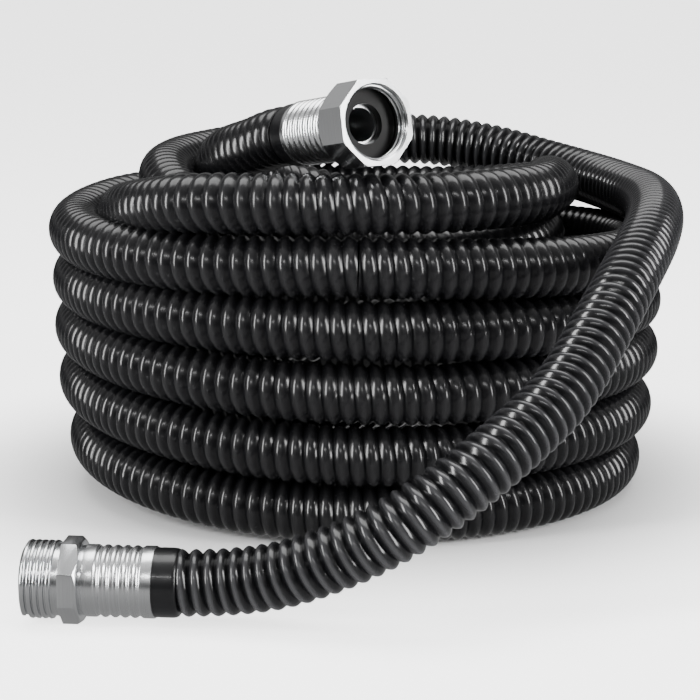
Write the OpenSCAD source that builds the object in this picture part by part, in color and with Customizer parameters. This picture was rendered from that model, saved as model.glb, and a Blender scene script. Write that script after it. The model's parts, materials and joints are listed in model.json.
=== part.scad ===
// Coiled water hose for rinsing out a caravan's sewer pipe and tank.
// A ribbed hose lies in a round coil. A male threaded end rests on the floor in front
// of the coil and a female end with a swivel nut rests on top of it.
// Millimetres, +Z up. The origin is the middle of the bounding box, on the floor.

/* [Hose] */
// Outside diameter of the hose over its ribs
hose_d = 23; // [20:0.5:24]
// Sides of each swept length of hose
hose_sides = 10; // [8:1:12]

/* [Coil] */
// Height from one turn to the next
turn_pitch = 24; // [24:0.5:26]
// Centre-line radius of the upper turns
coil_r = 115; // [112:1:118]
// How much smaller the bottom turn is than the upper turns
coil_taper = 7.5; // [0:0.5:10]
// Closed turns in the outer layer, below its last part turn
outer_turns = 4; // [3:1:5]
// Turns in the inner layer
inner_turns = 4; // [1:1:4]

/* [Ferrules and cuffs] */
// Outside diameter of the crimped ferrules
ferrule_d = 24.7; // [24.5:0.1:27]
// Inside diameter of the ferrules, which grip the cuffs
ferrule_bore = 22.2; // [22:0.1:22.6]
// Length of the ferrule on the male end
male_ferrule_len = 24; // [20:0.5:30]
// Length of the ferrule on the female end
female_ferrule_len = 28; // [22:0.5:32]
// Length of each cuff that shows behind its ferrule
cuff_len = 8.5; // [7:0.5:14]
// Crimped grooves round the male ferrule
male_crimps = 5; // [3:1:6]
// Crimped grooves round the female ferrule
female_crimps = 7; // [3:1:8]

/* [Fittings] */
// Diameter of the water way through both fittings
bore_d = 12.7; // [10:0.1:13]
// Outside diameter of the barbed tails, inside the hose end
tail_d = 16.4; // [16:0.1:17]
// Major diameter of the male hose thread
thread_d = 27; // [26.5:0.1:27.2]
// Length of the male thread
thread_len = 12.5; // [10:0.5:14]
// Size across the flats of the male collar
collar_af = 28; // [28:0.5:32]
// Size across the flats of the swivel nut
nut_af = 31.4; // [31:0.2:34]
// Overall length of the swivel nut
nut_len = 16; // [14:0.5:20]

/* [Hidden] */
$fn = 96;

black = [0.07, 0.07, 0.08];
silver = [0.80, 0.81, 0.82];
hose_r = hose_d / 2;

// The coil's upright axis stands here, because the free end reaches far forward.
coil_centre = [-1.5, 50.5, 0];

// Route of the loose upper turns, from the front of the coil's top turn. Each point is
// an angle from the front, clockwise from above, then a radius and a height.
top_turns = [
    [0, 115, 107.5], [30, 115.5, 106.5], [60, 116, 106.5], [90, 116, 107.5],
    [120, 114.5, 109.5], [150, 112, 109], [180, 107, 107.5], [205, 102, 108.5],
    [227, 98, 113], [248, 90, 118.5], [268, 79, 123.5], [293, 83.5, 127.5],
    [317, 98, 129], [338, 108, 130], [358, 113, 130.5], [15, 115, 130.5],
    [31, 114.5, 129], [49, 107, 123.5], [70, 98.5, 117], [90, 92, 112],
    [112, 86, 109], [135, 83, 107], [165, 79, 105.5], [195, 77, 104.5],
    [225, 75, 104], [255, 74.5, 103.5], [285, 75.5, 104], [315, 80, 105.5],
    [345, 86, 107.5], [10, 86, 110.5], [35, 82.5, 116.5], [60, 80, 122],
    [88, 79, 127], [112, 83, 128], [135, 92, 128], [158, 104, 129],
    [180, 112, 130]
];

// Route of the free run, which leaves the top turns at the rear, comes round the right
// side and lies down across the front, as X, Y and Z from the foot of the coil's axis.
free_run = [
    [34, 115, 129.5], [62, 106, 126], [86, 88, 121], [103, 62, 118.5],
    [113, 30, 118], [119, -5, 118], [118, -42, 117], [111, -82, 113.5],
    [101.5, -114, 107], [92.5, -138, 99], [84.5, -154, 90], [76.5, -168, 80.5],
    [67, -182, 71.5], [55, -195, 63.5], [43, -206, 56], [30, -213, 47.5],
    [16, -216, 38.5], [2, -215.5, 30.5], [-13, -213, 23.5], [-28, -209.5, 18],
    [-44, -206, 15], [-60, -204, 14]
];

// Route of the female run, from its cuff on top down to the inner layer of the coil.
female_run = [
    [-24.5, -74.5, 151.9], [-31.5, -64.5, 149.8], [-40, -51, 145], [-49, -34, 140.5],
    [-54, -16, 135.5], [-54, 4, 130], [-48, 24, 124], [-37, 40, 118.5],
    [-19, 51, 113], [2, 53, 107.5], [23, 47, 101.5], [39, 33, 95.5],
    [50, 14, 90], [59, -8, 85.5], [71, -35, 82.5]
];

// How far the bottom turns are pressed flat on the floor
floor_seat = 0.3;
// The outer layer's last part turn is drawn only where no loose hose runs: where it
// starts and how far it goes, in degrees anticlockwise about Z from +X.
last_turn_from = -88;
last_turn_sweep = 50;

// Which way each end points: its turn about Z from +X, and its rise above level.
male_heading = 174;
male_rise = 0;
female_heading = -54;
female_rise = 10;

// Radii of the sleeves, from the barbed tail outwards
tail_r = tail_d / 2;
hose_end_r = 9.7;
cuff_r = ferrule_bore / 2;
cuff_barrel_r = 11.9;
ferrule_r = ferrule_d / 2;
crimp_depth = 0.75;
crimp_pitch = 3.4;

// Stations along the male end, from the end of the hose outwards
barb_start = 6;
male_ferrule_end = cuff_len + male_ferrule_len;
collar_start = male_ferrule_end + 1;
collar_len = 6.5;
neck_start = collar_start + collar_len;
neck_len = 1.2;
thread_start = neck_start + neck_len;
male_tip = thread_start + thread_len;

// Stations along the female end
female_ferrule_end = cuff_len + female_ferrule_len;
nut_start = female_ferrule_end + 1.5;
nut_wall = 3;
nut_tip = nut_start + nut_len;
nut_bore_r = 13.6;
nut_recess_r = 13.9;
swivel_hole_r = 10.05;
neck_r = 9.97;
end_play = 0.2;
flange_r = 12.2;
flange_start = nut_start + nut_wall + end_play;
flange_len = 2.4;
washer_start = flange_start + flange_len + end_play;
washer_len = 3;
washer_r = 13.2;
washer_bore_r = 7.5;

// A point on the coil: degrees clockwise from the front, radius and height.
function on_coil(p) = [-p[1] * sin(p[0]), -p[1] * cos(p[0]), p[2]];
function unit(v) = v / norm(v);

top_route = [for (p = top_turns) on_coil(p)];
main_route = concat(top_route, free_run);
free_start = len(top_turns) - 1;
main_end = len(main_route) - 1;
female_end = len(female_run) - 1;

function heading_vector(heading, rise) =
    [cos(rise) * cos(heading), cos(rise) * sin(heading), sin(rise)];

// Direction of the route at point i, from its neighbours. The ends use the given
// direction where the hose runs straight into a fitting.
function direction(route, i, at_first, at_last) =
    i == 0 && norm(at_first) > 0 ? at_first :
    i == len(route) - 1 && norm(at_last) > 0 ? at_last :
    unit(route[min(i + 1, len(route) - 1)] - route[max(i - 1, 0)]);

function ring(centre, along) =
    let (side = unit(cross([0, 0, 1], along)), up = cross(along, side))
    [for (k = [0 : hose_sides - 1])
        centre + hose_r * (cos(360 * k / hose_sides) * side
            + sin(360 * k / hose_sides) * up)];

// One closed tube through points first to last of a route.
module swept_hose(route, first, last, at_first = [0, 0, 0], at_last = [0, 0, 0]) {
    rings = [for (i = [first : last]) ring(route[i], direction(route, i, at_first, at_last))];
    n = hose_sides;
    count = last - first + 1;
    points = [for (r = rings) each r];
    walls = [
        for (i = [0 : count - 2])
            for (k = [0 : n - 1])
                let (a = i * n + k, b = i * n + (k + 1) % n)
                each [[a, a + n, b + n], [a, b + n, b]]
    ];
    near_cap = [for (k = [0 : n - 1]) k];
    far_cap = [for (k = [n - 1 : -1 : 0]) (count - 1) * n + k];
    translate(coil_centre) polyhedron(points, concat(walls, [near_cap, far_cap]));
}

// Places a part that is drawn along +Z at the end of a run of hose.
module at_male_end() {
    translate(coil_centre + free_run[len(free_run) - 1])
        rotate([0, 90 - male_rise, male_heading])
            children();
}

module at_female_end() {
    translate(coil_centre + female_run[0])
        rotate([0, 90 - female_rise, female_heading])
            children();
}

module sleeve(from, to, outer_r, inner_r) {
    translate([0, 0, from])
        difference() {
            cylinder(h = to - from, r = outer_r);
            translate([0, 0, -1]) cylinder(h = to - from + 2, r = inner_r);
        }
}

// Radius of the outer layer's turn that starts t turns above the bottom one.
function turn_radius(t) = coil_r - coil_taper * exp(-1.1 * t);

// Height of the centre of the level turn that is t turns above the bottom one.
function turn_height(t) = hose_r - floor_seat + t * turn_pitch;

// The solid web, in section, that joins a turn to the one below it.
module web_section(below_r, above_r, t) {
    web = 2 * hose_r * 0.6;
    polygon([
        [below_r - web / 2, turn_height(t - 1)],
        [below_r + web / 2, turn_height(t - 1)],
        [above_r + web / 2, turn_height(t)],
        [above_r - web / 2, turn_height(t)]
    ]);
}

// The stacked turns of one layer as one closed ring with a solid web between them. The
// bottom turn is pressed flat where it rests on the floor.
module stacked_turns(radii) {
    rotate_extrude()
        difference() {
            union() {
                for (t = [0 : len(radii) - 1])
                    translate([radii[t], turn_height(t)]) circle(r = hose_r);
                for (t = [1 : len(radii) - 1])
                    web_section(radii[t - 1], radii[t], t);
            }
            translate([0, -hose_r]) square([2 * coil_r, hose_r]);
        }
}

// Ferrule: a thin sleeve with rolled grooves, closed in to the fitting's neck.
module crimped_ferrule(length, crimps) {
    first_crimp = (length - (crimps - 1) * crimp_pitch) / 2;
    shoulder = 1.2;
    difference() {
        union() {
            sleeve(cuff_len, cuff_len + length, ferrule_r, cuff_r);
            sleeve(cuff_len + length - shoulder, cuff_len + length, ferrule_r, tail_r);
        }
        for (k = [0 : crimps - 1])
            translate([0, 0, cuff_len + first_crimp + k * crimp_pitch])
                rotate_extrude()
                    translate([ferrule_r, 0]) circle(r = crimp_depth, $fn = 24);
    }
}

// Cuff: a sleeve under the ferrule with a thicker barrel that shows behind it.
module hose_cuff(ferrule_len) {
    under = cuff_len + ferrule_len - 2.5;
    union() {
        sleeve(0, under, cuff_r, hose_end_r);
        sleeve(0, cuff_len, cuff_barrel_r, hose_end_r);
    }
}

// The plain end of the hose, squeezed between the barbed tail and the cuff.
module plain_hose_end(ferrule_len) {
    sleeve(0, cuff_len + ferrule_len - 2.5, hose_end_r, tail_r);
}

// Barbed tail of a fitting: ring barbs on a slimmer stem.
module barbed_tail(to) {
    stem_r = tail_r - 0.5;
    barb_pitch = 4;
    barb_len = 2.4;
    union() {
        translate([0, 0, barb_start]) cylinder(h = to - barb_start, r = stem_r);
        for (z = [barb_start : barb_pitch : to - barb_len])
            translate([0, 0, z]) cylinder(h = barb_len, r1 = stem_r, r2 = tail_r);
        translate([0, 0, to - 1.6]) cylinder(h = 1.6, r = tail_r);
    }
}

module octagon(af, length) {
    rotate([0, 0, 22.5]) cylinder(h = length, r = af / 2 / cos(22.5), $fn = 8);
}

module water_way(to) {
    translate([0, 0, barb_start - 1]) cylinder(h = to - barb_start + 2, r = bore_d / 2);
}

module male_coupling() {
    chamfer = 1.2;
    color(silver)
        at_male_end()
            difference() {
                union() {
                    barbed_tail(male_ferrule_end);
                    translate([0, 0, male_ferrule_end])
                        cylinder(h = collar_start - male_ferrule_end, r = ferrule_r - 0.6);
                    intersection() {
                        translate([0, 0, collar_start]) octagon(collar_af, collar_len);
                        translate([0, 0, collar_start])
                            cylinder(h = collar_len, r1 = collar_af / 2 - 0.4,
                                r2 = collar_af / 2 + collar_len);
                    }
                    translate([0, 0, neck_start]) cylinder(h = neck_len, r = 12.4);
                    translate([0, 0, thread_start])
                        cylinder(h = thread_len - chamfer, r = thread_d / 2);
                    translate([0, 0, male_tip - chamfer])
                        cylinder(h = chamfer, r1 = thread_d / 2, r2 = thread_d / 2 - chamfer);
                }
                water_way(male_tip);
            }
}

module male_ferrule() {
    color(silver) at_male_end() crimped_ferrule(male_ferrule_len, male_crimps);
}

module male_cuff() {
    color(black) at_male_end() hose_cuff(male_ferrule_len);
}

module male_hose_end() {
    color(black) at_male_end() plain_hose_end(male_ferrule_len);
}

module hose_free_run() {
    color(black)
        swept_hose(main_route, free_start, main_end,
            at_last = heading_vector(male_heading, male_rise));
}

module hose_top_turns() {
    color(black) swept_hose(main_route, 0, free_start);
}

module hose_outer_coil() {
    color(black)
        translate(coil_centre)
            union() {
                stacked_turns([for (t = [0 : outer_turns - 1]) turn_radius(t)]);
                rotate([0, 0, last_turn_from])
                    rotate_extrude(angle = last_turn_sweep)
                        union() {
                            translate([turn_radius(outer_turns), turn_height(outer_turns)])
                                circle(r = hose_r);
                            web_section(turn_radius(outer_turns - 1),
                                turn_radius(outer_turns), outer_turns);
                        }
            }
}

module hose_inner_coil() {
    inner_r = turn_radius(0) - hose_d - 0.1;
    color(black)
        translate(coil_centre)
            stacked_turns([for (t = [0 : inner_turns - 1]) inner_r]);
}

module hose_female_run() {
    color(black)
        swept_hose(female_run, 0, female_end,
            at_first = -heading_vector(female_heading, female_rise));
}

module female_hose_end() {
    color(black) at_female_end() plain_hose_end(female_ferrule_len);
}

module female_cuff() {
    color(black) at_female_end() hose_cuff(female_ferrule_len);
}

module female_ferrule() {
    color(silver) at_female_end() crimped_ferrule(female_ferrule_len, female_crimps);
}

module female_tailpiece() {
    color(silver)
        at_female_end()
            difference() {
                union() {
                    barbed_tail(female_ferrule_end);
                    translate([0, 0, female_ferrule_end])
                        cylinder(h = flange_start - female_ferrule_end, r = neck_r);
                    translate([0, 0, flange_start]) cylinder(h = flange_len, r = flange_r);
                }
                water_way(flange_start + flange_len);
            }
}

// The nut is octagonal to its mouth. Its thread starts in front of a wider recess, which
// keeps the washer in.
module swivel_nut() {
    corner_r = 17.4;
    back_r = 14;
    back_chamfer = 3.2;
    mouth_chamfer = 0.9;
    recess_len = washer_start + washer_len - nut_start - nut_wall;
    color(silver)
        at_female_end()
            translate([0, 0, nut_start])
                difference() {
                    intersection() {
                        octagon(nut_af, nut_len);
                        union() {
                            cylinder(h = back_chamfer, r1 = back_r, r2 = corner_r);
                            translate([0, 0, back_chamfer])
                                cylinder(h = nut_len - back_chamfer - mouth_chamfer,
                                    r = corner_r);
                            translate([0, 0, nut_len - mouth_chamfer])
                                cylinder(h = mouth_chamfer, r1 = corner_r,
                                    r2 = corner_r - mouth_chamfer);
                        }
                    }
                    translate([0, 0, -1]) cylinder(h = nut_wall + 2, r = swivel_hole_r);
                    translate([0, 0, nut_wall]) cylinder(h = recess_len, r = nut_recess_r);
                    translate([0, 0, nut_wall]) cylinder(h = nut_len, r = nut_bore_r);
                }
}

module hose_washer() {
    color(black)
        at_female_end()
            sleeve(washer_start, washer_start + washer_len, washer_r, washer_bore_r);
}

male_coupling();
male_ferrule();
male_cuff();
male_hose_end();
hose_free_run();
hose_top_turns();
hose_outer_coil();
hose_inner_coil();
hose_female_run();
female_hose_end();
female_cuff();
female_ferrule();
female_tailpiece();
swivel_nut();
hose_washer();
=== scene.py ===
"""Ribbed rinsing hose in a coil, with a male threaded end and a swivel-nut end."""

import json
import logging
import math
from dataclasses import dataclass, field
from enum import Enum
from typing import Iterable, Sequence

import bmesh
import bpy
from mathutils import Matrix, Vector

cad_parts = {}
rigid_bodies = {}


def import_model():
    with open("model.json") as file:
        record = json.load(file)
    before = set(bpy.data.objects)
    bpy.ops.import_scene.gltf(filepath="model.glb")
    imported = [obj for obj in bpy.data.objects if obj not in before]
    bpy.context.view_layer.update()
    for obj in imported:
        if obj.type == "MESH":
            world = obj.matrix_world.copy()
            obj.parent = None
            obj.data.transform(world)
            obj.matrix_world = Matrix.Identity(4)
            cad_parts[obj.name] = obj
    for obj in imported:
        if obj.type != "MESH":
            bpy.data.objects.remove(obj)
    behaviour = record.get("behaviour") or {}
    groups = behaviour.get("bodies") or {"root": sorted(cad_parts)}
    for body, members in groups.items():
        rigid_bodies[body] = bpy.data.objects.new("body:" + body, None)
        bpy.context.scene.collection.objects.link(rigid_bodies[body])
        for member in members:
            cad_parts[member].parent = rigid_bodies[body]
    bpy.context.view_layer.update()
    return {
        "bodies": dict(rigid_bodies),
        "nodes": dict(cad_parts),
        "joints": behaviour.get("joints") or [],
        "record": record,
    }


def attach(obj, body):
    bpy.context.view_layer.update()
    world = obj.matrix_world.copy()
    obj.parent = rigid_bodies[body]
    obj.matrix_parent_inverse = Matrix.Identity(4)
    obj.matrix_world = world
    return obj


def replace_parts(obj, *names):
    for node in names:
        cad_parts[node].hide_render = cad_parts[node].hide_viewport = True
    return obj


log = logging.getLogger("rinsing_hose")

MM = 0.001
KNOT_STEPS = 12
CRISP_EDGE = math.radians(32)
HOSE_BODY = "hose"
NUT_BODY = "swivel"
FloatPair = tuple[float, float]
Point = tuple[float, float, float]


class VinylLook(Enum):
    """How the black vinyl is moulded where a material is used."""

    FREE_RIB = "free_rib"
    COILED_RIB = "coiled_rib"
    CUFF = "cuff"


# ---------------------------------------------------------------- shader tools


class TreeBuilder:
    """A small helper that adds nodes and links to one node tree."""

    def __init__(self, tree: bpy.types.NodeTree) -> None:
        """Keeps the tree that nodes are added to."""
        self.tree = tree

    def node(self, kind: str, **settings: object) -> bpy.types.Node:
        """Adds a node.

        Args:
            kind: The node's Blender type name.
            settings: Properties to set on the node.

        Returns:
            The new node.
        """
        made = self.tree.nodes.new(kind)
        for key, value in settings.items():
            setattr(made, key, value)
        return made

    def link(self, source: bpy.types.NodeSocket, target: bpy.types.NodeSocket) -> None:
        """Joins two sockets."""
        self.tree.links.new(source, target)

    def plug(self, value: object, target: bpy.types.NodeSocket) -> None:
        """Joins a socket, or sets a number."""
        if isinstance(value, bpy.types.NodeSocket):
            self.link(value, target)
        else:
            target.default_value = value

    def math(self, operation: str, first: object, second: object = 0.0) -> bpy.types.NodeSocket:
        """Adds a Math node.

        Args:
            operation: The node's operation.
            first: A socket or a number.
            second: A socket or a number.

        Returns:
            The node's output socket.
        """
        made = self.node("ShaderNodeMath", operation=operation)
        self.plug(first, made.inputs[0])
        self.plug(second, made.inputs[1])
        return made.outputs[0]


class FinishBuilder(TreeBuilder):
    """Builds a material round its Principled BSDF."""

    def __init__(self, name: str) -> None:
        """Starts a material with the given name."""
        self.material = bpy.data.materials.new(name)
        self.material.use_nodes = True
        super().__init__(self.material.node_tree)
        self.body = self.tree.nodes["Principled BSDF"]

    def wear(self, marks: bpy.types.NodeTree, scale: float, smudge: float, dust: float) -> bpy.types.Node:
        """Places the handling marks group.

        Args:
            marks: The shared handling marks group.
            scale: Scale of the smudges.
            smudge: Strength of the smudges.
            dust: Strength of the dust.

        Returns:
            The group's node.
        """
        worn = self.node("ShaderNodeGroup", node_tree=marks)
        for label, value in (("Scale", scale), ("Smudge", smudge), ("Dust", dust)):
            worn.inputs[label].default_value = value
        return worn

    def colour(self, first: Point, second: Point, mask: bpy.types.NodeSocket) -> None:
        """Sets the base colour, from the first colour to the second by a mask."""
        mix = self.node("ShaderNodeMix", data_type="RGBA")
        mix.inputs["A"].default_value = (*first, 1.0)
        mix.inputs["B"].default_value = (*second, 1.0)
        self.link(mask, mix.inputs["Factor"])
        self.link(mix.outputs["Result"], self.body.inputs["Base Color"])

    def bump(self, height: bpy.types.NodeSocket, strength: float, depth_mm: float) -> None:
        """Adds surface relief from a height."""
        relief = self.node("ShaderNodeBump")
        relief.inputs["Strength"].default_value = strength
        relief.inputs["Distance"].default_value = depth_mm * MM
        self.link(height, relief.inputs["Height"])
        self.link(relief.outputs["Normal"], self.body.inputs["Normal"])


def group_tree(name: str, inputs: dict[str, float], outputs: Sequence[str]) -> bpy.types.NodeTree:
    """Starts a shader group with float inputs and outputs.

    Args:
        name: The group's name.
        inputs: Each input's name and default.
        outputs: The outputs' names.

    Returns:
        The empty group.
    """
    tree = bpy.data.node_groups.new(name, "ShaderNodeTree")
    for label, default in inputs.items():
        made = tree.interface.new_socket(label, in_out="INPUT", socket_type="NodeSocketFloat")
        made.default_value = default
    for label in outputs:
        tree.interface.new_socket(label, in_out="OUTPUT", socket_type="NodeSocketFloat")
    return tree


def build_smudge_group() -> bpy.types.NodeTree:
    """Builds the shared group of handling smudges and dust.

    Returns:
        A group whose outputs are a smudge mask and a dust mask, both 0 to 1.
    """
    tree = group_tree("handling_marks", {"Scale": 60.0, "Smudge": 0.5, "Dust": 0.2}, ["Smudge", "Dust"])
    make = TreeBuilder(tree)
    given = make.node("NodeGroupInput")
    result = make.node("NodeGroupOutput")
    coords = make.node("ShaderNodeTexCoord")
    broad = make.node("ShaderNodeTexNoise")
    broad.inputs["Detail"].default_value = 4.0
    make.link(coords.outputs["Object"], broad.inputs["Vector"])
    make.link(given.outputs["Scale"], broad.inputs["Scale"])
    make.link(make.math("MULTIPLY", broad.outputs["Fac"], given.outputs["Smudge"]), result.inputs["Smudge"])
    fine = make.node("ShaderNodeTexNoise")
    fine.inputs["Detail"].default_value = 8.0
    make.link(coords.outputs["Object"], fine.inputs["Vector"])
    make.link(make.math("MULTIPLY", given.outputs["Scale"], 14.0), fine.inputs["Scale"])
    specks = make.math("GREATER_THAN", fine.outputs["Fac"], 0.70)
    make.link(make.math("MULTIPLY", specks, given.outputs["Dust"]), result.inputs["Dust"])
    return tree


@dataclass(frozen=True)
class VinylFinish:
    """Glossy black flexible vinyl."""

    name: str
    look: VinylLook
    roughness: float
    coat: float
    # Grey of the painted highlight on rib crests, and of the real dust specks on the cuff.
    crest_highlight_and_dust_grey: float
    bump_mm: float

    def material(self, marks: bpy.types.NodeTree) -> bpy.types.Material:
        """Builds the material.

        Args:
            marks: The shared handling marks group.

        Returns:
            The material; its rib crests get a lighter grey as a painted highlight, and on the cuff real dust
            specks get that grey.
        """
        make = FinishBuilder(self.name)
        make.body.inputs["IOR"].default_value = 1.42
        make.body.inputs["Coat Weight"].default_value = self.coat
        make.body.inputs["Coat Roughness"].default_value = 0.12
        worn = make.wear(marks, 55.0, 0.14, 0.05)
        rough = make.math("ADD", worn.outputs["Smudge"], self.roughness)
        make.link(make.math("ADD", rough, worn.outputs["Dust"]), make.body.inputs["Roughness"])
        # Where the lighter grey goes: real dust specks on the cuff, and on the ribs a painted highlight along
        # each crest.
        if self.look is VinylLook.CUFF:
            mask = worn.outputs["Dust"]
        else:
            rib = make.node("ShaderNodeAttribute", attribute_name="rib_height")
            mask = make.math("POWER", rib.outputs["Fac"], 5.0)
        grey = self.crest_highlight_and_dust_grey
        make.colour((0.003, 0.003, 0.0035), (grey, grey, grey * 1.06), mask)
        coords = make.node("ShaderNodeTexCoord")
        grain = make.node("ShaderNodeTexNoise")
        grain.inputs["Scale"].default_value = 900.0
        grain.inputs["Detail"].default_value = 3.0
        make.link(coords.outputs["Object"], grain.inputs["Vector"])
        make.bump(grain.outputs["Fac"], 0.5, self.bump_mm)
        return make.material


@dataclass(frozen=True)
class TurnedAluminium:
    """Bright turned or drawn aluminium with fine marks round its own axis."""

    name: str
    tint: Point
    roughness: float
    mark_mm: float
    along: Point

    def material(self, marks: bpy.types.NodeTree) -> bpy.types.Material:
        """Builds the material.

        Args:
            marks: The shared handling marks group.

        Returns:
            The material, with lathe rings square to the piece's axis.
        """
        make = FinishBuilder(self.name)
        make.body.inputs["Metallic"].default_value = 1.0
        coords = make.node("ShaderNodeTexCoord")
        dot = make.node("ShaderNodeVectorMath", operation="DOT_PRODUCT")
        make.link(coords.outputs["Object"], dot.inputs[0])
        dot.inputs[1].default_value = self.along
        rings = make.node("ShaderNodeTexNoise", noise_dimensions="1D")
        rings.inputs["Scale"].default_value = 2600.0
        rings.inputs["Detail"].default_value = 3.0
        make.link(dot.outputs["Value"], rings.inputs["W"])
        worn = make.wear(marks, 120.0, 0.12, 0.04)
        ring_rough = make.math("MULTIPLY", rings.outputs["Fac"], 0.12)
        rough = make.math("ADD", make.math("ADD", worn.outputs["Smudge"], ring_rough), self.roughness)
        make.link(rough, make.body.inputs["Roughness"])
        make.colour(self.tint, tuple(0.82 * c for c in self.tint), rings.outputs["Fac"])
        make.bump(rings.outputs["Fac"], 0.35, self.mark_mm)
        return make.material


@dataclass(frozen=True)
class RubberFinish:
    """Matt black rubber of the washer."""

    name: str = "washer_rubber_finish"
    roughness: float = 0.40

    def material(self, marks: bpy.types.NodeTree) -> bpy.types.Material:
        """Builds the material.

        Args:
            marks: The shared handling marks group.

        Returns:
            The material.
        """
        make = FinishBuilder(self.name)
        make.body.inputs["IOR"].default_value = 1.3
        worn = make.wear(marks, 200.0, 0.2, 0.3)
        rough = make.math("ADD", worn.outputs["Smudge"], self.roughness)
        make.link(rough, make.body.inputs["Roughness"])
        make.colour((0.0022, 0.0022, 0.0022), (0.02, 0.02, 0.019), worn.outputs["Dust"])
        return make.material


# ---------------------------------------------------------------- routes


def smooth_route(points: Sequence[Vector]) -> list[Vector]:
    """Runs a centripetal spline through points.

    Args:
        points: The points it passes through, KNOT_STEPS steps apart on the result.

    Returns:
        The points along the spline.
    """
    ends = [2 * points[0] - points[1], *points, 2 * points[-1] - points[-2]]
    line: list[Vector] = []
    for p0, p1, p2, p3 in zip(ends, ends[1:], ends[2:], ends[3:]):
        t1 = (p1 - p0).length ** 0.5
        t2 = t1 + (p2 - p1).length ** 0.5
        t3 = t2 + (p3 - p2).length ** 0.5
        for step in range(KNOT_STEPS):
            t = t1 + (t2 - t1) * step / KNOT_STEPS
            a1 = p0.lerp(p1, t / t1)
            a2 = p1.lerp(p2, (t - t1) / (t2 - t1))
            a3 = p2.lerp(p3, (t - t2) / (t3 - t2))
            b1 = a1.lerp(a2, t / t2)
            b2 = a2.lerp(a3, (t - t1) / (t3 - t1))
            line.append(b1.lerp(b2, (t - t1) / (t2 - t1)))
    line.append(points[-1].copy())
    return line


def run_length(line: Sequence[Vector]) -> float:
    """Length along a line of points."""
    return sum((b - a).length for a, b in zip(line, line[1:]))


def even_steps(line: Sequence[Vector], step: float) -> list[Vector]:
    """Spaces points evenly along a line.

    Args:
        line: The line's points.
        step: About how far apart the new points are.

    Returns:
        The new points, with both ends kept.
    """
    total = run_length(line)
    count = max(2, round(total / step))
    spaced = [line[0].copy()]
    walked = 0.0
    wanted = total / count
    for a, b in zip(line, line[1:]):
        span = (b - a).length
        while span > 0 and wanted <= walked + span and len(spaced) < count:
            spaced.append(a.lerp(b, (wanted - walked) / span))
            wanted = total * (len(spaced)) / count
        walked += span
    spaced.append(line[-1].copy())
    return spaced


def softened(line: Sequence[Vector], passes: int) -> list[Vector]:
    """Evens out small kinks, keeping both ends.

    Args:
        line: The line's points.
        passes: How many times each point moves halfway to its neighbours' middle.

    Returns:
        The smoother points.
    """
    current = [p.copy() for p in line]
    for _ in range(passes):
        middle = [0.5 * p + 0.25 * (a + b) for a, p, b in zip(current, current[1:], current[2:])]
        current = [current[0], *middle, current[-1]]
    return current


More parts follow.
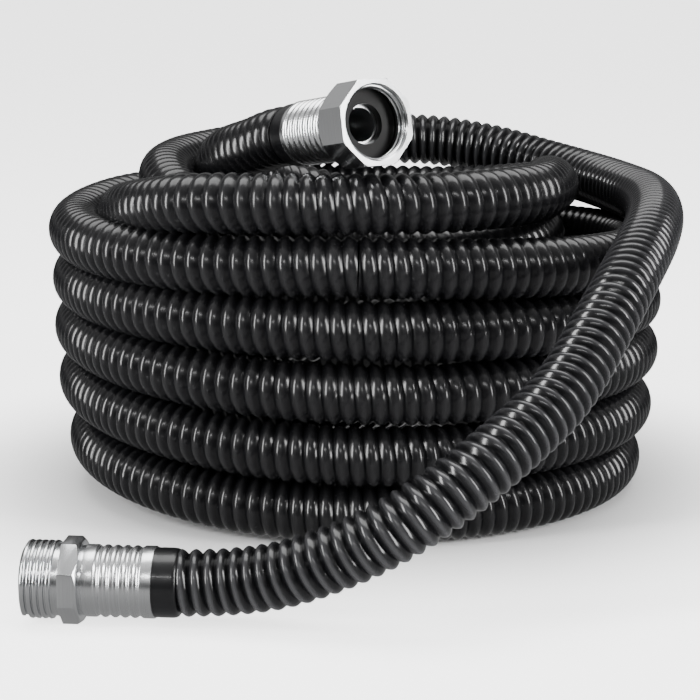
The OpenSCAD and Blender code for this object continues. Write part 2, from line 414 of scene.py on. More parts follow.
@dataclass
class CoilRoutes:
    """The line that the one long hose follows, in lengths.

    Each end's way is its turn about Z from +X and its rise above level, in degrees.
    """

    centre: Vector = field(default_factory=lambda: Vector((-1.5, 50.5, 0.0)) * MM)
    hose_radius: float = 11.5
    upper_radius: float = 115.0
    taper: float = 7.5
    turn_pitch: float = 24.0
    bottom_start: float = -95.0
    outer_stop: float = 1440.0
    inner_turns: int = 2
    side_sway: float = 4.5
    rear_sag: float = 7.0
    male_way: FloatPair = (174.0, 0.0)
    female_way: FloatPair = (-54.0, 10.0)
    top_turns: tuple[Point, ...] = (
        (0, 115, 107.5), (30, 115.5, 106.5), (60, 116, 106.5), (90, 116, 107.5),
        (120, 114.5, 109.5), (150, 112, 109), (180, 107, 107.5), (205, 102, 108.5),
        (227, 98, 113), (248, 90, 118.5), (268, 79, 123.5), (293, 83.5, 127.5),
        (317, 98, 129), (338, 108, 130), (358, 113, 130.5), (15, 115, 130.5),
        (31, 114.5, 129), (49, 107, 123.5), (70, 98.5, 117), (90, 92, 112),
        (112, 86, 109), (135, 83, 107), (165, 79, 105.5), (195, 77, 104.5),
        (225, 75, 104), (255, 74.5, 103.5), (285, 75.5, 104), (315, 80, 105.5),
        (345, 86, 107.5), (10, 86, 110.5), (35, 82.5, 116.5), (60, 80, 122),
        (88, 79, 127), (112, 83, 128), (135, 92, 128), (158, 104, 129),
        (180, 112, 130),
    )
    free_run: tuple[Point, ...] = (
        (34, 115, 129.5), (62, 106, 126), (86, 88, 121), (103, 62, 118.5),
        (113, 30, 118), (119, -5, 118), (118, -42, 117), (111, -82, 113.5),
        (101.5, -114, 107), (92.5, -138, 99), (84.5, -154, 90), (76.5, -168, 80.5),
        (67, -182, 71.5), (55, -195, 63.5), (43, -206, 56), (30, -213, 47.5),
        (16, -216, 38.5), (2, -215.5, 30.5), (-13, -213, 23.5), (-28, -209.5, 18),
        (-44, -206, 15), (-60, -204, 14),
    )
    female_run: tuple[Point, ...] = (
        (-24.5, -74.5, 151.9), (-31.5, -64.5, 149.8), (-40, -51, 145), (-49, -34, 140.5),
        (-54, -16, 135.5), (-54, 4, 130), (-48, 24, 124), (-37, 40, 118.5),
        (-19, 51, 113), (2, 53, 107.5), (23, 47, 101.5), (39, 33, 95.5),
        (50, 14, 90), (59, -8, 85.5), (71, -35, 82.5),
    )

    def on_coil(self, degrees: float, radius: float, height: float) -> Vector:
        """A point in metres at an angle clockwise from the front, seen from above."""
        a = math.radians(degrees)
        return self.centre + Vector((-radius * math.sin(a), -radius * math.cos(a), height)) * MM

    def placed(self, point: Point) -> Vector:
        """A point given in millimetres from the foot of the coil's axis, in metres."""
        return self.centre + Vector(point) * MM

    def outer_point(self, degrees: float) -> Vector:
        """A point of the outer layer, whose turns rise from the floor."""
        t = degrees / 360.0
        up = max(t, 0.0)
        radius = self.upper_radius - self.taper * math.exp(-1.1 * up)
        a = math.radians(degrees)
        sway = self.side_sway * math.sin(math.pi * (t + 0.6) / 3.4) * math.sin(a) ** 2
        sag = self.rear_sag * max(0.0, (t - 0.5) / 3) * ((1 - math.cos(a)) / 2) ** 4
        height = self.hose_radius + self.turn_pitch * up + (sway - sag if t > 0 else 0.0)
        return self.on_coil(degrees, radius, max(height, self.hose_radius))

    def outer_line(self, start: float, stop: float) -> list[Vector]:
        """The outer layer's line between two angles."""
        count = max(2, round(abs(stop - start) / 2.0))
        return [self.outer_point(start + (stop - start) * k / count) for k in range(count + 1)]

    def main_points(self) -> list[Vector]:
        """The knots of the loose top turns and then the free run."""
        return [self.on_coil(*p) for p in self.top_turns] + [self.placed(p) for p in self.free_run]

    def beyond(self, point: Point, heading: float, rise: float) -> Vector:
        """A knot 12 mm inside a fitting, so that the hose runs straight into it."""
        turn, tip = math.radians(heading), math.radians(rise)
        way = Vector((math.cos(tip) * math.cos(turn), math.cos(tip) * math.sin(turn), math.sin(tip)))
        return self.placed(point) + way * 12.0 * MM

    def main_lines(self) -> tuple[list[Vector], list[Vector]]:
        """The spline of the top turns, and that of the free run, cut where they meet.

        Knots of the outer layer and of the male end lie beyond its two ends, so that
        each end has its neighbour's direction.
        """
        before = self.outer_point(self.outer_stop - 30.0)
        knots = [before, *self.main_points(), self.beyond(self.free_run[-1], *self.male_way)]
        line = smooth_route(knots)[KNOT_STEPS:-KNOT_STEPS]
        cut = KNOT_STEPS * (len(self.top_turns) - 1)
        return line[: cut + 1], line[cut:]

    def inner_lines(self) -> tuple[list[Vector], list[Vector]]:
        """The female run, and the inner layer from its foot to the outer layer's start.

        Returns:
            The female run's line and the inner layer's line.
        """
        female = [self.placed(p) for p in self.female_run]
        last = self.female_run[-1]
        angle = math.degrees(math.atan2(-last[0], -last[1])) % 360.0
        radius = math.hypot(last[0], last[1])
        target_radius = self.upper_radius - self.taper - 2 * self.hose_radius - 0.1
        sweep = 360.0 * self.inner_turns + (self.bottom_start - angle) % 360.0
        lowest = self.hose_radius
        count = round(sweep / 6.0)
        inner = []
        for k in range(count + 1):
            part = k / count
            eased = min(1.0, part * 8.0)
            r = radius + (target_radius - radius) * eased
            height = last[2] + (lowest - last[2]) * min(1.0, part / 0.9)
            out = max(0.0, (part - 0.9) / 0.1)
            r += (self.upper_radius - self.taper - target_radius) * out * out * (3 - 2 * out)
            inner.append(self.on_coil(angle + sweep * part, r, height))
        before = self.beyond(self.female_run[0], *self.female_way)
        knots = [before, *female, *inner[1:], self.outer_point(self.bottom_start + 6.0)]
        line = smooth_route(knots)[KNOT_STEPS:-KNOT_STEPS]
        cut = KNOT_STEPS * (len(female) - 1)
        return line[: cut + 1], line[cut:]


# ---------------------------------------------------------------- geometry node tools


class GeometryBuilder(TreeBuilder):
    """Builds a Geometry Nodes tree with short calls."""

    def __init__(self, name: str, inputs: dict[str, float]) -> None:
        """Starts the tree.

        Args:
            name: The tree's name.
            inputs: Each named size and its default.
        """
        super().__init__(bpy.data.node_groups.new(name, "GeometryNodeTree"))
        self.tree.interface.new_socket("Geometry", in_out="INPUT", socket_type="NodeSocketGeometry")
        for label, default in inputs.items():
            kind = "NodeSocketInt" if isinstance(default, int) else "NodeSocketFloat"
            made = self.tree.interface.new_socket(label, in_out="INPUT", socket_type=kind)
            made.default_value = default
        self.tree.interface.new_socket("Material", in_out="INPUT", socket_type="NodeSocketMaterial")
        self.tree.interface.new_socket("Geometry", in_out="OUTPUT", socket_type="NodeSocketGeometry")
        self.given = self.node("NodeGroupInput")
        self.result = self.node("NodeGroupOutput")

    def vector_math(self, operation: str, first: object, second: object) -> bpy.types.NodeSocket:
        """Adds a Vector Math node and returns its vector output."""
        made = self.node("ShaderNodeVectorMath", operation=operation)
        self.plug(first, made.inputs[0])
        if operation == "SCALE":
            self.plug(second, made.inputs["Scale"])
        elif operation != "NORMALIZE":
            self.plug(second, made.inputs[1])
        return made.outputs[0]

    def finish(self, geometry: bpy.types.NodeSocket) -> bpy.types.NodeTree:
        """Ends the tree in Realize Instances and Set Material.

        Args:
            geometry: What the tree has made.

        Returns:
            The finished tree.
        """
        smooth = self.node("GeometryNodeSetShadeSmooth")
        real = self.node("GeometryNodeRealizeInstances")
        dress = self.node("GeometryNodeSetMaterial")
        self.link(geometry, smooth.inputs["Geometry"])
        self.link(smooth.outputs[0], real.inputs[0])
        self.link(real.outputs[0], dress.inputs["Geometry"])
        self.link(self.given.outputs["Material"], dress.inputs["Material"])
        self.link(dress.outputs[0], self.result.inputs[0])
        return self.tree


def baked(name: str, source: bpy.types.Object, tree: bpy.types.NodeTree,
          values: dict[str, object]) -> bpy.types.Object:
    """Runs a tree on an object and keeps the result as a plain mesh.

    Args:
        name: The new piece's name.
        source: The object the tree works on, which is removed afterwards.
        tree: The Geometry Nodes tree.
        values: Each named input's value.

    Returns:
        The piece, a mesh at the origin.
    """
    modifier = source.modifiers.new("build", "NODES")
    modifier.node_group = tree
    for item in tree.interface.items_tree:
        if item.in_out == "INPUT" and item.name in values:
            modifier[item.identifier] = values[item.name]
    graph = bpy.context.evaluated_depsgraph_get()
    graph.update()
    mesh = bpy.data.meshes.new_from_object(source.evaluated_get(graph), depsgraph=graph)
    mesh.name = name
    bpy.data.objects.remove(source, do_unlink=True)
    piece = bpy.data.objects.new(name, mesh)
    bpy.context.scene.collection.objects.link(piece)
    return piece


def route_curve(name: str, line: Sequence[Vector]) -> bpy.types.Object:
    """Makes a poly curve whose frame keeps its side level.

    Args:
        name: The curve's name.
        line: The points it follows.

    Returns:
        The curve object.
    """
    data = bpy.data.curves.new(name, "CURVE")
    data.dimensions = "3D"
    data.twist_mode = "Z_UP"
    spline = data.splines.new("POLY")
    spline.points.add(len(line) - 1)
    for point, place in zip(spline.points, line):
        point.co = (*place, 1.0)
    made = bpy.data.objects.new(name, data)
    bpy.context.scene.collection.objects.link(made)
    return made


def build_rib_tree() -> bpy.types.NodeTree:
    """Builds the tree that winds a spiral rib round a route.

    The grid's rows follow the rib, so each crest and each groove lies on a row.

    Returns:
        The tree.
    """
    make = GeometryBuilder("spiral_ribbed_hose", {
        "Rows": 100, "Columns": 36, "Samples per Rib": 8, "Outer Radius": 0.0115,
        "Root Radius": 0.0095, "Rib Pitch": 0.0058, "Flank Fullness": 1.6, "Phase": 0.0,
    })
    put = make.given.outputs
    grid = make.node("GeometryNodeMeshGrid")
    stride = make.math("ADD", put["Columns"], 1.0)
    make.link(put["Rows"], grid.inputs["Vertices X"])
    make.link(stride, grid.inputs["Vertices Y"])
    index = make.node("GeometryNodeInputIndex").outputs[0]
    row = make.math("FLOOR", make.math("DIVIDE", make.math("ADD", index, 0.5), stride))
    column = make.math("SUBTRACT", index, make.math("MULTIPLY", row, stride))
    around = make.math("DIVIDE", column, put["Columns"])
    rib_row = make.math("DIVIDE", make.math("SUBTRACT", row, 3.0), put["Samples per Rib"])
    wound = make.math("SUBTRACT", make.math("ADD", rib_row, around), make.math("ADD", put["Phase"], 1.0))
    reach = make.node("GeometryNodeCurveLength")
    make.link(put["Geometry"], reach.inputs[0])
    started = make.math("MAXIMUM", make.math("MULTIPLY", wound, put["Rib Pitch"]), 0.0)
    along = make.math("MINIMUM", started, reach.outputs[0])
    ribs_along = make.math("SUBTRACT", make.math("DIVIDE", along, put["Rib Pitch"]), around)
    turned = make.math("ADD", ribs_along, put["Phase"])
    part = make.math("FRACT", make.math("ADD", turned, 40.0))
    across = make.math("ABSOLUTE", make.math("SUBTRACT", make.math("MULTIPLY", part, 2.0), 1.0))
    height = make.math("SUBTRACT", 1.0, make.math("POWER", across, put["Flank Fullness"]))
    rise = make.math("SUBTRACT", put["Outer Radius"], put["Root Radius"])
    radius = make.math("ADD", put["Root Radius"], make.math("MULTIPLY", height, rise))
    last = make.math("SUBTRACT", put["Rows"], 1.5)
    capped = make.math("MULTIPLY", make.math("GREATER_THAN", row, 0.5), make.math("LESS_THAN", row, last))
    radius = make.math("MULTIPLY", radius, capped)
    sample = make.node("GeometryNodeSampleCurve", mode="LENGTH", use_all_curves=True)
    make.link(put["Geometry"], sample.inputs["Curves"])
    make.link(along, sample.inputs["Length"])
    tangent = make.vector_math("NORMALIZE", sample.outputs["Tangent"], None)
    normal = make.vector_math("NORMALIZE", sample.outputs["Normal"], None)
    side = make.vector_math("CROSS_PRODUCT", tangent, normal)
    angle = make.math("MULTIPLY", around, 2.0 * math.pi)
    first = make.vector_math("SCALE", normal, make.math("MULTIPLY", radius, make.math("COSINE", angle)))
    second = make.vector_math("SCALE", side, make.math("MULTIPLY", radius, make.math("SINE", angle)))
    place = make.vector_math("ADD", sample.outputs["Position"], make.vector_math("ADD", first, second))
    keep = make.node("GeometryNodeStoreNamedAttribute", data_type="FLOAT", domain="POINT")
    keep.inputs["Name"].default_value = "rib_height"
    make.link(grid.outputs["Mesh"], keep.inputs["Geometry"])
    make.link(height, keep.inputs["Value"])
    move = make.node("GeometryNodeSetPosition")
    make.link(keep.outputs[0], move.inputs["Geometry"])
    make.link(place, move.inputs["Position"])
    merge = make.node("GeometryNodeMergeByDistance")
    merge.inputs["Distance"].default_value = 0.00001
    make.link(move.outputs[0], merge.inputs["Geometry"])
    return make.finish(merge.outputs[0])


def build_thread_tree() -> bpy.types.NodeTree:
    """Builds the tree that sweeps one bar round a helix, for a screw thread.

    Returns:
        The tree, which makes its helix along +Z.
    """
    make = GeometryBuilder("screw_thread", {
        "Turns": 4.0, "Helix Radius": 0.0127, "Thread Pitch": 0.00221,
        "Bar Radius": 0.0009, "Steps per Turn": 72,
    })
    put = make.given.outputs
    spiral = make.node("GeometryNodeCurveSpiral")
    make.link(put["Steps per Turn"], spiral.inputs["Resolution"])
    make.link(put["Turns"], spiral.inputs["Rotations"])
    make.link(put["Helix Radius"], spiral.inputs["Start Radius"])
    make.link(put["Helix Radius"], spiral.inputs["End Radius"])
    make.link(make.math("MULTIPLY", put["Turns"], put["Thread Pitch"]), spiral.inputs["Height"])
    bar = make.node("GeometryNodeCurvePrimitiveCircle")
    bar.inputs["Resolution"].default_value = 8
    make.link(put["Bar Radius"], bar.inputs["Radius"])
    sweep = make.node("GeometryNodeCurveToMesh")
    sweep.inputs["Fill Caps"].default_value = True
    make.link(spiral.outputs[0], sweep.inputs["Curve"])
    make.link(bar.outputs[0], sweep.inputs["Profile Curve"])
    return make.finish(sweep.outputs[0])


# ---------------------------------------------------------------- mesh tools


def ring_of(work: bmesh.types.BMesh, radius: float, height: float, steps: int,
            offset: float = 0.0) -> list[bmesh.types.BMVert]:
    """Adds a ring of points about +Z, with sizes in millimetres.

    Args:
        work: The mesh that it is added to.
        radius: The ring's radius.
        height: Its height.
        steps: How many points it has.
        offset: How far the first point is turned, in steps.

    Returns:
        The points in order.
    """
    angles = [2 * math.pi * (k + offset) / steps for k in range(steps)]
    r = radius * MM
    return [work.verts.new((r * math.cos(a), r * math.sin(a), height * MM)) for a in angles]


def closed_piece(name: str, work: bmesh.types.BMesh, place: Matrix) -> bpy.types.Object:
    """Turns a closed mesh's faces outwards, places it and makes it a piece."""
    mesh = bpy.data.meshes.new(name)
    bmesh.ops.recalc_face_normals(work, faces=work.faces)
    work.transform(place)
    work.to_mesh(mesh)
    work.free()
    return as_piece(name, mesh)


def turned_piece(name: str, outline: Sequence[FloatPair], place: Matrix,
                 steps: int = 128) -> bpy.types.Object:
    """Turns a closed outline about +Z and sets it in place.

    Args:
        name: The piece's name.
        outline: Radius and height pairs in millimetres, round the section.
        place: Where the piece's own axes stand.
        steps: Divisions round the axis.

    Returns:
        A closed mesh piece with smooth sides and crisp edges.
    """
    work = bmesh.new()
    rings = []
    for r, z in outline:
        on_axis = r < 1e-6
        rings.append([work.verts.new((0, 0, z * MM))] * steps if on_axis else ring_of(work, r, z, steps))
    for ring, after in zip(rings, rings[1:] + rings[:1]):
        for k in range(steps):
            corners = [ring[k], ring[(k + 1) % steps], after[(k + 1) % steps], after[k]]
            unique = list(dict.fromkeys(corners))
            if len(unique) > 2:
                work.faces.new(unique)
    return closed_piece(name, work, place)


def as_piece(name: str, mesh: bpy.types.Mesh) -> bpy.types.Object:
    """Links a mesh as an object, smooth but for its crisp edges."""
    made = bpy.data.objects.new(name, mesh)
    bpy.context.scene.collection.objects.link(made)
    mesh.shade_smooth()
    mesh.set_sharp_from_angle(angle=CRISP_EDGE)
    return made


def octagon_prism(name: str, across_flats: float, start: float, stop: float,
                  place: Matrix) -> bpy.types.Object:
    """A closed octagonal bar along +Z, with sizes in millimetres."""
    r = across_flats / 2 / math.cos(math.pi / 8)
    work = bmesh.new()
    rings = [ring_of(work, r, z, 8, offset=0.5) for z in (start, stop)]
    for k in range(8):
        work.faces.new([rings[0][k], rings[0][(k + 1) % 8], rings[1][(k + 1) % 8], rings[1][k]])
    work.faces.new(rings[0][::-1])
    work.faces.new(rings[1])
    return closed_piece(name, work, place)


def shaped(name: str, base: bpy.types.Object, steps: Iterable[tuple[str, bpy.types.Object]],
           bevel: float) -> bpy.types.Object:
    """Cuts and joins solids, then softens the hard edges.

    Args:
        name: The result's name.
        base: The solid to start from, which is used up.
        steps: Boolean operations and their solids, which are used up too.
        bevel: Width of the softened edges in millimetres.

    Returns:
        The finished piece.
    """
    tools = []
    for operation, tool in steps:
        cut = base.modifiers.new("shape", "BOOLEAN")
        cut.operation = operation
        cut.object = tool
        cut.solver = "EXACT"
        tools.append(tool)
    edge = base.modifiers.new("edges", "BEVEL")
    edge.width = bevel * MM
    edge.segments = 2
    edge.limit_method = "ANGLE"
    edge.angle_limit = CRISP_EDGE
    graph = bpy.context.evaluated_depsgraph_get()
    graph.update()
    mesh = bpy.data.meshes.new_from_object(base.evaluated_get(graph), depsgraph=graph)
    mesh.name = name
    for used in [base, *tools]:
        bpy.data.objects.remove(used, do_unlink=True)
    return as_piece(name, mesh)


def dress(piece: bpy.types.Object, material: bpy.types.Material, body: str, slot: str) -> bpy.types.Object:
    """Gives a piece its material and body.

    Args:
        piece: The piece.
        material: Its material.
        body: The CAD body it rides on.
        slot: Not used.

    Returns:
        The same piece.
    """
    piece.data.materials.clear()
    piece.data.materials.append(material)
    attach(piece, body)
    log.info("%s rides on %s, %d faces", piece.name, body, len(piece.data.polygons))
    return piece


def end_frame(start: Vector, heading: float, rise: float) -> Matrix:
    """The axes of a fitting: its +Z runs out of the hose.

    Args:
        start: Where the hose ends, in metres.
        heading: Turn about Z from +X, in degrees.
        rise: Rise above level, in degrees.

    Returns:
        The placing matrix.
    """
    turn = Matrix.Rotation(math.radians(heading), 4, "Z")
    tip = Matrix.Rotation(math.radians(90 - rise), 4, "Y")
    return Matrix.Translation(start) @ turn @ tip


# ---------------------------------------------------------------- sub-assemblies


@dataclass
class RibbedHose:
    """The one long hose, made in lengths whose ribs run on from each other."""

    routes: CoilRoutes
    free_finish: bpy.types.Material
    coil_finish: bpy.types.Material
    outer_radius: float = 11.5
    coil_root: float = 9.95
    free_root: float = 9.75
    free_pitch: float = 4.9

    def length_of_hose(self, name: str, line: list[Vector], tree: bpy.types.NodeTree, pitch: float,
                       fullness: float, root: float, phase: float, columns: int, material: bpy.types.Material,
                       nodes: Sequence[str]) -> float:
        """Args:
            name: The piece's name.
            line: Its centre line.
            tree: The rib tree.
            pitch: Distance from rib to rib in millimetres.
            fullness: How rounded each rib is.
            root: Radius at the grooves in millimetres.
            phase: Where in a rib the length starts.
            columns: Divisions round the hose.
            material: Its material.
            nodes: The CAD nodes it stands for.

        Returns:
            Where in a rib the length ends.
        """
        line = softened(even_steps(line, 0.002), 6)
        length = run_length(line)
        samples = 8
        rows = int(samples * (length / (pitch * MM) + phase + 2)) + 8
        piece = baked(name, route_curve(name + "_route", line), tree, {
            "Rows": rows, "Columns": columns, "Samples per Rib": samples,
            "Outer Radius": self.outer_radius * MM, "Root Radius": root * MM,
            "Rib Pitch": pitch * MM, "Flank Fullness": fullness, "Phase": phase, "Material": material,
        })
        work = bmesh.new()
        work.from_mesh(piece.data)
        bmesh.ops.dissolve_degenerate(work, dist=1e-7, edges=work.edges)
        bmesh.ops.recalc_face_normals(work, faces=work.faces)
        open_edges = sum(1 for edge in work.edges if not edge.is_manifold)
        work.to_mesh(piece.data)
        work.free()
        piece.data.set_sharp_from_angle(angle=math.radians(50))
        log.info("%s: %.3f m, open edges %d", name, length, open_edges)
        dress(piece, material, HOSE_BODY, "hose_vinyl")
        if nodes:
            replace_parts(piece, *nodes)
        return (phase + length / (pitch * MM)) % 1.0

    def build(self) -> None:
        """Makes every length in order, from the female end to the male end."""
        tree = build_rib_tree()
        female, inner = self.routes.inner_lines()
        top, free = self.routes.main_lines()
        middle = 560.0
        lower = self.routes.outer_line(self.routes.bottom_start, middle)
        upper = self.routes.outer_line(middle, self.routes.outer_stop)
        lengths = (
            ("hose_female_length", female, 5.7, 1.6, 40, self.coil_finish, ["hose_female_run"]),
            ("hose_inner_turns", inner, 5.4, 1.6, 28, self.coil_finish, ["hose_inner_coil"]),
            ("hose_lower_turns", lower, 5.3, 1.8, 36, self.coil_finish, ["hose_outer_coil"]),
            ("hose_upper_turns", upper, 5.6, 1.8, 36, self.coil_finish, []),
            ("hose_loose_turns", top, 5.8, 1.8, 38, self.coil_finish, ["hose_top_turns"]),
            ("hose_free_length", free, self.free_pitch, 1.7, 44, self.free_finish, ["hose_free_run"]),
        )
        phase = 0.0
        for name, line, pitch, fullness, columns, material, nodes in lengths:
            root = self.free_root if material is self.free_finish else self.coil_root
            phase = self.length_of_hose(name, line, tree, pitch, fullness, root, phase, columns,
                                        material, nodes)


@dataclass
class CrimpedEnd:
    """What both ends share: the cuff, the crimped ferrule and their place."""

    frame: Matrix
    label: str
    ferrule_length: float
    crimps: int
    cuff_length: float = 8.5
    ferrule_radius: float = 12.35
    crimp_pitch: float = 3.4
    crimp_depth: float = 0.75

    def ferrule_outline(self) -> list[FloatPair]:
        """The ferrule's section, with a rolled groove for each crimp."""
        start = self.cuff_length
        stop = start + self.ferrule_length
        r = self.ferrule_radius
        first = start + (self.ferrule_length - (self.crimps - 1) * self.crimp_pitch) / 2
        outline: list[FloatPair] = [(r - 0.35, start), (r - 0.08, start + 0.12), (r, start + 0.4)]
        half = 1.55
        for k in range(self.crimps):
            middle = first + k * self.crimp_pitch
            for step in range(13):
                across = -1 + step / 6
                dip = 0.5 * (1 + math.cos(math.pi * across)) * self.crimp_depth
                outline.append((r - dip, middle + across * half))
        outline += [
            (r, stop - 0.5), (r - 0.12, stop - 0.15), (r - 0.5, stop), (8.3, stop), (8.3, stop - 1.2),
            (11.15, stop - 1.2), (11.15, start),
        ]
        return outline

    def cuff_outline(self) -> list[FloatPair]:
        """The cuff's section, a barrel with a rounded end."""
        under = self.cuff_length + self.ferrule_length - 2.5
        return [
            (9.75, 0.0), (10.3, 0.0), (10.9, 0.2), (11.4, 0.6), (11.7, 1.2), (11.85, 2.0), (11.9, 3.2),
            (11.9, 6.6), (11.82, 7.4), (11.9, 8.0), (11.9, self.cuff_length), (11.08, self.cuff_length),
            (11.08, under), (9.75, under),
        ]

    def build_sleeves(self, metal: bpy.types.Material, vinyl: bpy.types.Material) -> None:
        """Makes the ferrule and the cuff.

        Args:
            metal: The ferrule's material.
            vinyl: The cuff's material.
        """
        ferrule = turned_piece(f"{self.label}_crimped_sleeve", self.ferrule_outline(), self.frame)
        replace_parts(dress(ferrule, metal, HOSE_BODY, "crimped_aluminium"), f"{self.label}_ferrule")
        cuff = turned_piece(f"{self.label}_barrel_cuff", self.cuff_outline(), self.frame)
        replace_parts(dress(cuff, vinyl, HOSE_BODY, "cuff_vinyl"), f"{self.label}_cuff")


@dataclass
class ThreadCutter:
    """Makes the screw threads of both ends from one tree."""

    tree: bpy.types.NodeTree
    pitch: float = 2.209

    def thread(self, name: str, frame: Matrix, start: float, turns: float, radius: float,
               bar: float, material: bpy.types.Material, body: str) -> bpy.types.Object:
        """Makes one right-handed thread.

        Args:
            name: The piece's name.
            frame: The fitting's axes.
            start: Where the thread starts along the axis, in millimetres.
            turns: How many times it goes round.
            radius: Radius of the bar's centre line, in millimetres.
            bar: Radius of the bar, in millimetres.
            material: The thread's material.
            body: The CAD body it rides on.

        Returns:
            The thread.
        """
        holder = bpy.data.objects.new(name + "_seed", bpy.data.meshes.new(name + "_seed"))
        bpy.context.scene.collection.objects.link(holder)
        piece = baked(name, holder, self.tree, {
            "Turns": turns, "Helix Radius": radius * MM, "Thread Pitch": self.pitch * MM,
            "Bar Radius": bar * MM, "Steps per Turn": 72, "Material": material,
        })
        piece.data.transform(frame @ Matrix.Translation((0, 0, start * MM)))
        return dress(piece, material, body, "machined_aluminium")


@dataclass
class MaleEnd(CrimpedEnd):
    """The end that lies on the floor, with the outside thread."""

    collar_flats: float = 28.0
    bore: float = 6.35

    def build(self, metal: bpy.types.Material, sleeve: bpy.types.Material, vinyl: bpy.types.Material,
              cutter: ThreadCutter) -> None:
        """Makes the coupling, its thread and the sleeves."""
        self.build_sleeves(sleeve, vinyl)
        c = self.cuff_length + self.ferrule_length + 1.0
        neck, root, tip = c + 6.5, c + 7.7, c + 20.2
        flats = octagon_prism("collar_flats", self.collar_flats, c, neck, self.frame)
        barrel = turned_piece("collar_turning", [
            (0, c - 0.2), (13.6, c - 0.2), (16.0, c + 2.2), (16.0, neck - 1.0), (15.3, neck + 0.01),
            (0, neck + 0.01),
        ], self.frame)
        way = turned_piece("collar_way", [
            (0, c - 2), (self.bore, c - 2), (self.bore, tip + 2), (0, tip + 2),
        ], self.frame)
        collar = shaped("male_collar", flats, [("INTERSECT", barrel), ("DIFFERENCE", way)], 0.18)
        dress(collar, metal, HOSE_BODY, "machined_aluminium")
        stem = turned_piece("male_stem", [
            (self.bore, 14.5), (7.7, 14.5), (7.7, c - 1.0), (11.8, c - 1.0), (11.8, c + 0.4),
            (12.4, neck - 0.3), (12.3, neck + 0.2), (12.3, root), (12.35, root + 0.1),
            (12.35, tip - 1.2), (11.5, tip - 0.15), (11.3, tip), (self.bore + 0.4, tip),
            (self.bore, tip - 0.4),
        ], self.frame)
        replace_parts(dress(stem, metal, HOSE_BODY, "machined_aluminium"), "male_coupling")
        cutter.thread("male_thread", self.frame, root + 0.7, 4.9, 12.55, 0.94, metal, HOSE_BODY)


@dataclass
class FemaleEnd(CrimpedEnd):
    """The end on top, whose nut turns on the tailpiece."""

    nut_flats: float = 31.4
    corner_radius: float = 17.4

    def build(self, metal: bpy.types.Material, sleeve: bpy.types.Material, vinyl: bpy.types.Material,
              rubber: bpy.types.Material, cutter: ThreadCutter) -> None:
        """Makes the sleeves and nut, and dresses the tailpiece and washer."""
        self.build_sleeves(sleeve, vinyl)
        s = self.cuff_length + self.ferrule_length + 1.5
        tip = s + 16.0
        flats = octagon_prism("nut_flats", self.nut_flats, s, tip, self.frame)
        corner = self.corner_radius
        turning = turned_piece("nut_turning", [
            (0, s - 0.2), (14.0, s - 0.2), (corner, s + 3.2), (corner, tip - 0.9),
            (corner - 0.9, tip + 0.1), (0, tip + 0.1),
        ], self.frame)
        hole = turned_piece("nut_hole", [
            (0, s - 1), (10.05, s - 1), (10.05, s + 3), (13.9, s + 3), (13.9, s + 8.8), (13.6, s + 8.8),
            (13.6, tip - 0.6), (14.3, tip + 0.1), (14.3, tip + 1), (0, tip + 1),
        ], self.frame)
        nut = shaped("octagonal_swivel_nut", flats, [("INTERSECT", turning), ("DIFFERENCE", hole)], 0.18)
        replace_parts(dress(nut, metal, NUT_BODY, "machined_aluminium"), "swivel_nut")
        cutter.thread("nut_thread", self.frame, s + 9.7, 2.2, 13.55, 0.85, metal, NUT_BODY)
        for node, material in (("female_tailpiece", metal), ("hose_washer", rubber)):
            carried = frame["nodes"][node]
            for held in carried.material_slots:
                held.material = material


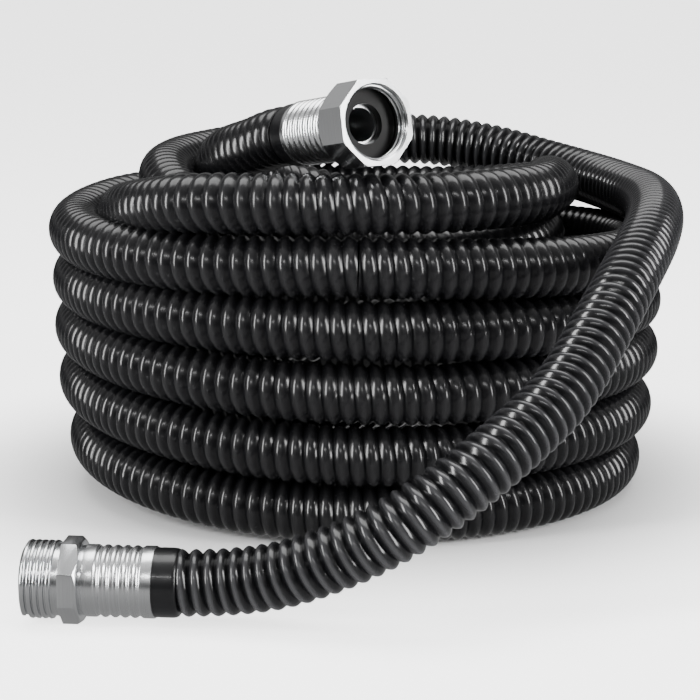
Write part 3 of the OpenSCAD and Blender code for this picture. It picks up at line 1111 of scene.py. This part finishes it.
@dataclass
class Studio:
    """Camera, soft lights and the pale floor."""

    camera_place: Point = (-0.0045, -0.9155, 0.2475)
    camera_tilt: float = 78.64
    lens: float = 120.5

    def camera(self) -> None:
        """Sets up the camera."""
        data = bpy.data.cameras.new("studio_camera")
        data.lens = self.lens
        data.sensor_width = 36.0
        made = bpy.data.objects.new("studio_camera", data)
        made.location = self.camera_place
        made.rotation_euler = (math.radians(self.camera_tilt), 0.0, 0.0)
        bpy.context.scene.collection.objects.link(made)
        bpy.context.scene.camera = made

    def floor(self) -> None:
        """Makes the pale floor, which glows evenly away from the coil; near the coil its glow fades to none,
        a painted shade round and under the coil.
        """
        mesh = bpy.data.meshes.new("pale_floor")
        reach = 6.0
        corners = [(-reach, -reach, 0), (reach, -reach, 0), (reach, reach, 0), (-reach, reach, 0)]
        mesh.from_pydata(corners, [], [(0, 1, 2, 3)])
        made = bpy.data.objects.new("pale_floor", mesh)
        material = bpy.data.materials.new("pale_floor")
        material.use_nodes = True
        paint = material.node_tree.nodes["Principled BSDF"]
        paint.inputs["Base Color"].default_value = (0.93, 0.93, 0.93, 1.0)
        paint.inputs["Roughness"].default_value = 0.8
        paint.inputs["Emission Color"].default_value = (1.0, 1.0, 1.0, 1.0)
        paint.inputs["Emission Strength"].default_value = 1.0
        make = TreeBuilder(material.node_tree)
        where = make.node("ShaderNodeTexCoord")
        reach_out = make.node("ShaderNodeVectorMath", operation="DISTANCE")
        make.link(where.outputs["Object"], reach_out.inputs[0])
        reach_out.inputs[1].default_value = (-0.0015, 0.0505, 0.0)
        # Glow strength is 0 within 0.10 m of the coil's axis and rises to 2.6 by 0.24 m: painted shade on the
        # floor round the coil.
        glow_with_painted_shade = make.node("ShaderNodeMapRange", interpolation_type="SMOOTHSTEP")
        glow_with_painted_shade.inputs["From Min"].default_value = 0.10
        glow_with_painted_shade.inputs["From Max"].default_value = 0.24
        glow_with_painted_shade.inputs["To Max"].default_value = 2.6
        make.link(reach_out.outputs["Value"], glow_with_painted_shade.inputs["Value"])
        glow = make.node("ShaderNodeCombineColor")
        for channel in range(3):
            make.link(glow_with_painted_shade.outputs["Result"], glow.inputs[channel])
        make.link(glow.outputs[0], paint.inputs["Emission Color"])
        mesh.materials.append(material)
        bpy.context.scene.collection.objects.link(made)
        made.visible_glossy = False

    def light(self, name: str, place: Point, aim: Point, size: FloatPair, power: float) -> None:
        """Adds one softbox.

        Args:
            name: The light's name.
            place: Where it stands.
            aim: The point it faces.
            size: Its width and height.
            power: Its power in watts.
        """
        data = bpy.data.lights.new(name, "AREA")
        data.shape = "RECTANGLE"
        data.size, data.size_y = size
        data.energy = power
        made = bpy.data.objects.new(name, data)
        made.location = place
        made.rotation_euler = (Vector(aim) - Vector(place)).to_track_quat("-Z", "Y").to_euler()
        bpy.context.scene.collection.objects.link(made)

    def lights(self) -> None:
        """Adds a softbox on each side, one above, and a pale surround."""
        aim = (0.0, 0.0, 0.08)
        self.light("left_strip", (-1.0, -0.55, 0.45), aim, (0.20, 0.9), 17.0)
        self.light("right_strip", (1.0, -0.56, 0.45), aim, (0.24, 0.9), 16.0)
        self.light("front_strip", (-0.25, -1.5, 0.95), aim, (0.9, 0.08), 5.0)
        self.light("top_softbox", (0.0, 0.15, 1.3), aim, (1.2, 0.7), 15.0)
        world = bpy.data.worlds.new("pale_surround")
        world.use_nodes = True
        make = TreeBuilder(world.node_tree)
        seen = make.node("ShaderNodeLightPath").outputs["Is Camera Ray"]
        facing = make.node("ShaderNodeTexCoord").outputs["Generated"]
        parts = make.node("ShaderNodeSeparateXYZ")
        make.link(facing, parts.inputs[0])
        bands = make.node("ShaderNodeValToRGB")
        bands.color_ramp.interpolation = "EASE"
        stops = (
            (0.0, 0.30), (0.42, 0.42), (0.50, 0.05), (0.60, 0.06), (0.70, 0.55), (0.80, 0.12), (1.0, 0.8),
        )
        for place, level in stops[1:-1]:
            bands.color_ramp.elements.new(place).color = (level, level, level, 1.0)
        for index, (_, level) in ((0, stops[0]), (-1, stops[-1])):
            bands.color_ramp.elements[index].color = (level, level, level, 1.0)
        make.link(make.math("ADD", make.math("MULTIPLY", parts.outputs["Z"], 0.5), 0.5), bands.inputs[0])
        soft = make.math("MULTIPLY", bands.outputs["Color"], make.math("SUBTRACT", 1.0, seen))
        strength = make.math("ADD", make.math("MULTIPLY", seen, 4.5), soft)
        make.link(strength, world.node_tree.nodes["Background"].inputs["Strength"])
        world.node_tree.nodes["Background"].inputs["Color"].default_value = (1.0, 1.0, 1.0, 1.0)
        bpy.context.scene.world = world


def main() -> None:
    """Builds the camera, hose, fittings and studio in order."""
    logging.basicConfig(level=logging.INFO, format="%(name)s: %(message)s")
    studio = Studio()
    studio.camera()
    marks = build_smudge_group()
    routes = CoilRoutes()
    hose = RibbedHose(
        routes,
        VinylFinish("free_rib_vinyl", VinylLook.FREE_RIB, 0.13, 0.12, 0.03, 0.02).material(marks),
        VinylFinish("coiled_rib_vinyl", VinylLook.COILED_RIB, 0.16, 0.1, 0.010, 0.02).material(marks),
    )
    hose.build()
    male_frame = end_frame(routes.placed(routes.free_run[-1]), *routes.male_way)
    female_frame = end_frame(routes.placed(routes.female_run[0]), *routes.female_way)
    cuff = VinylFinish("cuff_vinyl_finish", VinylLook.CUFF, 0.24, 0.2, 0.05, 0.04).material(marks)
    cutter = ThreadCutter(build_thread_tree())
    for label, axes in (("male", male_frame), ("female", female_frame)):
        along = tuple(axes.to_3x3() @ Vector((0, 0, 1)))
        machined = TurnedAluminium(f"{label}_machined", (0.82, 0.83, 0.84), 0.10, 0.03, along).material(marks)
        drawn = TurnedAluminium(f"{label}_drawn", (0.86, 0.87, 0.88), 0.13, 0.02, along).material(marks)
        if label == "male":
            MaleEnd(axes, label, 24.0, 5).build(machined, drawn, cuff, cutter)
        else:
            washer = RubberFinish().material(marks)
            FemaleEnd(axes, label, 28.0, 7).build(machined, drawn, cuff, washer, cutter)
    for node in ("male_hose_end", "female_hose_end"):
        for held in frame["nodes"][node].material_slots:
            held.material = cuff
    studio.floor()
    studio.lights()


if __name__ == "__main__":
    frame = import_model()
    main()
